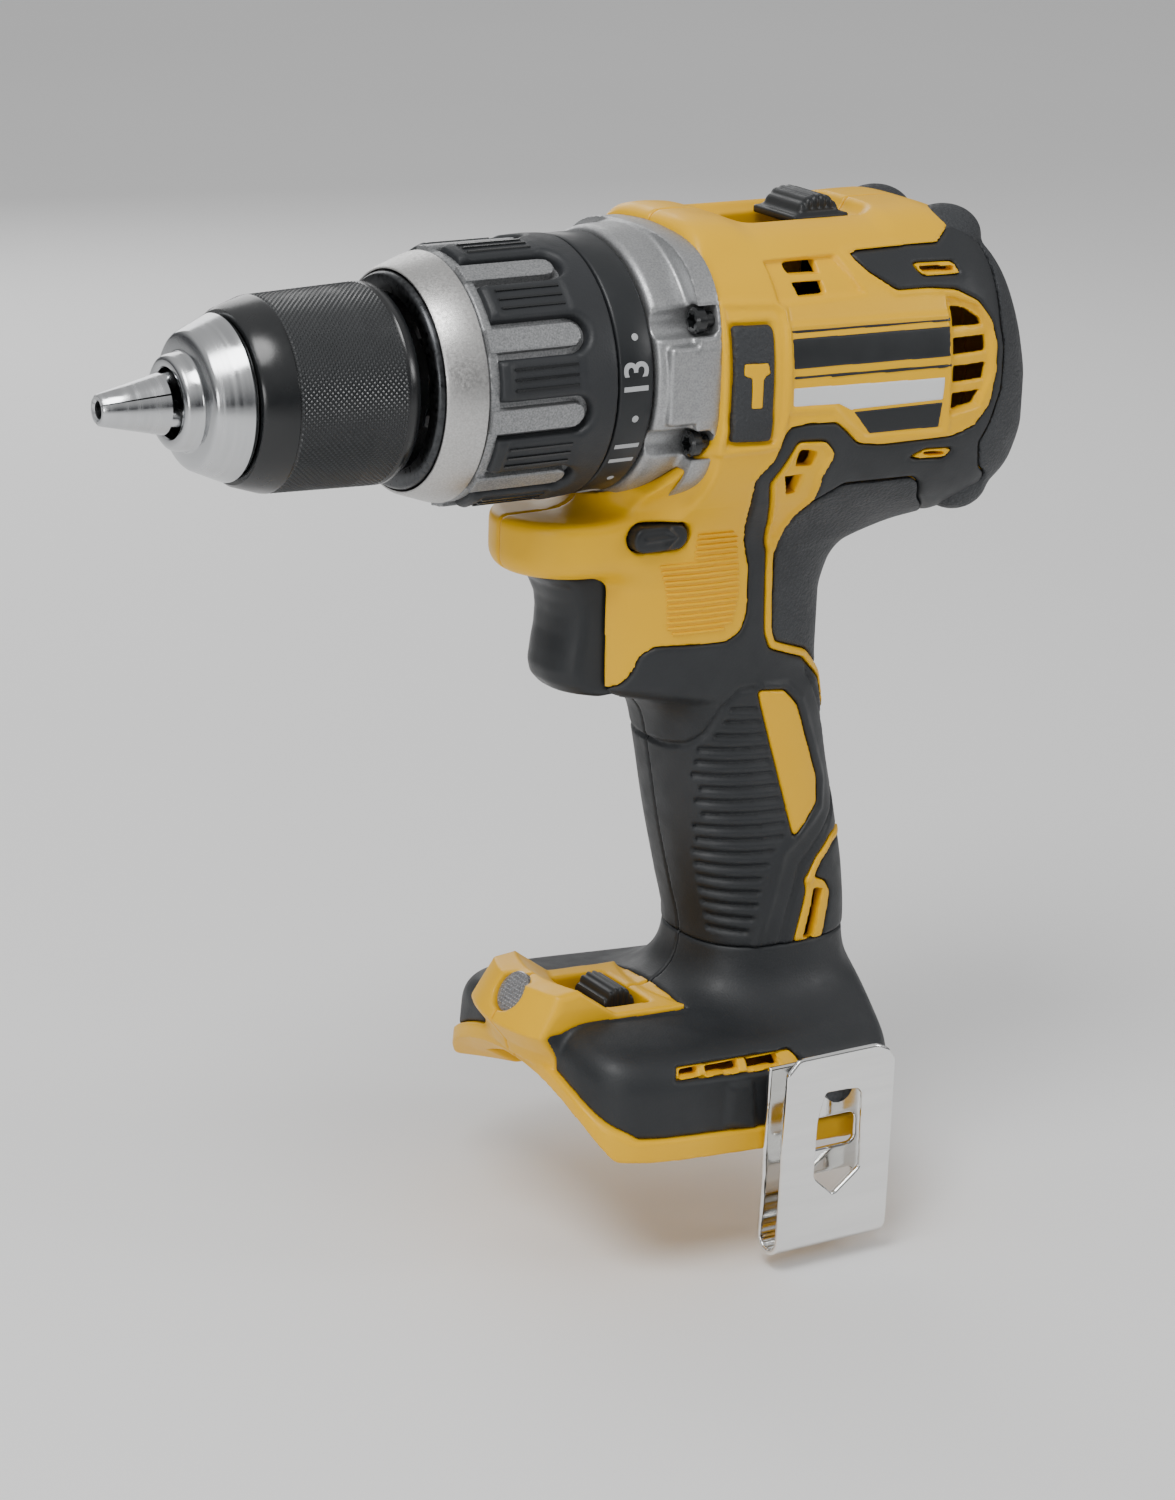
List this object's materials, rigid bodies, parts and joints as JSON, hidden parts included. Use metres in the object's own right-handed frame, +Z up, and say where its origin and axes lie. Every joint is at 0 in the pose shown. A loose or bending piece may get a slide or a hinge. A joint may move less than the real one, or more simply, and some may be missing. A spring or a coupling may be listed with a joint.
{
  "type": "cordless drill",
  "caption": "Pistol-grip cordless hammer drill with keyless chuck, torque collar, geared motor, trigger and belt clip, made as separate jointed pieces.",
  "frame": {"origin": "middle of the flat roof of the battery socket under the foot", "axes": "+X towards the rear along the spindle, +Z up, +Y to the right-hand side of the tool"},
  "size_m": [0.2124, 0.0846, 0.2239],
  "materials": {
    "yellow_plastic": "satin moulded plastic",
    "black_plastic": "fine moulded texture",
    "soft_rubber": "fine leather-like grain",
    "grey_plastic": "speckled satin",
    "silver_metal": "satin cast",
    "steel": "turned and ground",
    "dark_steel": "blackened",
    "chrome": "polished",
    "copper": "enamelled wire",
    "brass": "bright",
    "circuit_board": "potted board",
    "lens": "frosted"
  },
  "bodies": {
    "root": {"housing_left": "yellow_plastic", "housing_right": "yellow_plastic", "grip_left": "soft_rubber", "grip_right": "soft_rubber", "rear_bumper": "soft_rubber", "housing_screw_1": "dark_steel", "housing_screw_2": "dark_steel", "housing_screw_3": "dark_steel", "gear_case": "silver_metal", "gear_case_screw_1": "dark_steel", "gear_case_screw_2": "dark_steel", "gear_case_screw_3": "dark_steel", "gear_case_screw_4": "dark_steel", "front_bearing": "steel", "fixed_ratchet": "steel", "clutch_spring": "steel", "ring_gear_front": "dark_steel", "ring_gear_rear": "dark_steel", "gearbox_rear_plate": "black_plastic", "motor_front_bearing": "steel", "motor_rear_bearing": "steel", "stator_core": "dark_steel", "stator_winding": "copper", "sensor_board": "circuit_board", "switch_module": "black_plastic", "control_module": "circuit_board", "motor_lead": "soft_rubber", "terminal_block": "black_plastic", "terminal_blade_1": "brass", "terminal_blade_2": "brass", "lamp_lens": "lens", "belt_clip": "chrome", "belt_clip_screw": "dark_steel"},
    "chuck": {"chuck_body": "steel", "spindle": "steel", "chuck_screw": "dark_steel", "output_carrier": "steel", "moving_ratchet": "steel"},
    "sleeve": {"chuck_sleeve": "black_plastic"},
    "jaw_a": {"jaw_1": "steel"},
    "jaw_b": {"jaw_2": "steel"},
    "jaw_c": {"jaw_3": "steel"},
    "torque_dial": {"torque_collar": "grey_plastic", "collar_grip": "soft_rubber", "collar_front_ring": "silver_metal", "number_ring": "grey_plastic"},
    "motor_rotor": {"motor_shaft": "steel", "rotor": "dark_steel", "cooling_fan": "black_plastic"},
    "carrier": {"middle_carrier": "steel"},
    "front_planet_a": {"front_planet_1": "steel"},
    "front_planet_b": {"front_planet_2": "steel"},
    "front_planet_c": {"front_planet_3": "steel"},
    "rear_planet_a": {"rear_planet_1": "steel"},
    "rear_planet_b": {"rear_planet_2": "steel"},
    "rear_planet_c": {"rear_planet_3": "steel"},
    "speed_slider": {"speed_selector": "black_plastic"},
    "trigger_piece": {"trigger": "black_plastic"},
    "reverse_bar": {"direction_button": "black_plastic"},
    "lamp_slider": {"led_switch": "black_plastic"}
  },
  "joints": [
    {"name": "spindle_spin", "type": "hinge", "parent": "root", "child": "chuck", "pos_m": [-0.05584, 0, 0.15623], "axis": [1, 0, 0], "continuous": true},
    {"name": "sleeve_turn", "type": "hinge", "parent": "chuck", "child": "sleeve", "pos_m": [-0.05584, 0, 0.15623], "axis": [-1, 0, 0], "range_deg": [0, 3240]},
    {"name": "torque_dial_turn", "type": "hinge", "parent": "root", "child": "torque_dial", "pos_m": [-0.05584, 0, 0.15623], "axis": [1, 0, 0], "range_deg": [-270, 0]},
    {"name": "rotor_spin", "type": "hinge", "parent": "root", "child": "motor_rotor", "pos_m": [-0.05584, 0, 0.15623], "axis": [1, 0, 0], "continuous": true},
    {"name": "carrier_spin", "type": "hinge", "parent": "root", "child": "carrier", "pos_m": [-0.05584, 0, 0.15623], "axis": [1, 0, 0], "continuous": true},
    {"name": "jaw_a_slide", "type": "slide", "parent": "chuck", "child": "jaw_a", "axis": [0.9703, 0, 0.2419], "range_m": [0, 0.027]},
    {"name": "jaw_b_slide", "type": "slide", "parent": "chuck", "child": "jaw_b", "axis": [0.9703, -0.2095, -0.121], "range_m": [0, 0.027]},
    {"name": "jaw_c_slide", "type": "slide", "parent": "chuck", "child": "jaw_c", "axis": [0.9703, 0.2095, -0.121], "range_m": [0, 0.027]},
    {"name": "front_planet_a_spin", "type": "hinge", "parent": "chuck", "child": "front_planet_a", "pos_m": [-0.01954, 0.0105, 0.15623], "axis": [1, 0, 0], "continuous": true},
    {"name": "rear_planet_a_spin", "type": "hinge", "parent": "carrier", "child": "rear_planet_a", "pos_m": [-0.00734, 0.0105, 0.15623], "axis": [1, 0, 0], "continuous": true},
    {"name": "front_planet_b_spin", "type": "hinge", "parent": "chuck", "child": "front_planet_b", "pos_m": [-0.01954, -0.00525, 0.16532], "axis": [1, 0, 0], "continuous": true},
    {"name": "rear_planet_b_spin", "type": "hinge", "parent": "carrier", "child": "rear_planet_b", "pos_m": [-0.00734, -0.00525, 0.16532], "axis": [1, 0, 0], "continuous": true},
    {"name": "front_planet_c_spin", "type": "hinge", "parent": "chuck", "child": "front_planet_c", "pos_m": [-0.01954, -0.00525, 0.14714], "axis": [1, 0, 0], "continuous": true},
    {"name": "rear_planet_c_spin", "type": "hinge", "parent": "carrier", "child": "rear_planet_c", "pos_m": [-0.00734, -0.00525, 0.14714], "axis": [1, 0, 0], "continuous": true},
    {"name": "speed_slide", "type": "slide", "parent": "root", "child": "speed_slider", "axis": [1, 0, 0], "range_m": [-0.008, 0]},
    {"name": "trigger_pull", "type": "slide", "parent": "root", "child": "trigger_piece", "axis": [1, 0, 0], "range_m": [0, 0.007], "stiffness_N_per_m": 700, "springref_m": -0.002},
    {"name": "reverse_slide", "type": "slide", "parent": "root", "child": "reverse_bar", "axis": [0, 1, 0], "range_m": [-0.003, 0.003]},
    {"name": "lamp_slide", "type": "slide", "parent": "root", "child": "lamp_slider", "axis": [0, 1, 0], "range_m": [-0.0025, 0.0025]}
  ],
  "couplings": [
    {"joint": "rotor_spin", "follows": "spindle_spin", "ratio": 12.25},
    {"joint": "carrier_spin", "follows": "spindle_spin", "ratio": 3.5},
    {"joint": "jaw_a_slide", "follows": "sleeve_turn", "m_per_rad": 0.00047746},
    {"joint": "jaw_b_slide", "follows": "sleeve_turn", "m_per_rad": 0.00047746},
    {"joint": "jaw_c_slide", "follows": "sleeve_turn", "m_per_rad": 0.00047746},
    {"joint": "front_planet_a_spin", "follows": "spindle_spin", "ratio": -3.3333},
    {"joint": "rear_planet_a_spin", "follows": "spindle_spin", "ratio": -11.667},
    {"joint": "front_planet_b_spin", "follows": "spindle_spin", "ratio": -3.3333},
    {"joint": "rear_planet_b_spin", "follows": "spindle_spin", "ratio": -11.667},
    {"joint": "front_planet_c_spin", "follows": "spindle_spin", "ratio": -3.3333},
    {"joint": "rear_planet_c_spin", "follows": "spindle_spin", "ratio": -11.667}
  ]
}
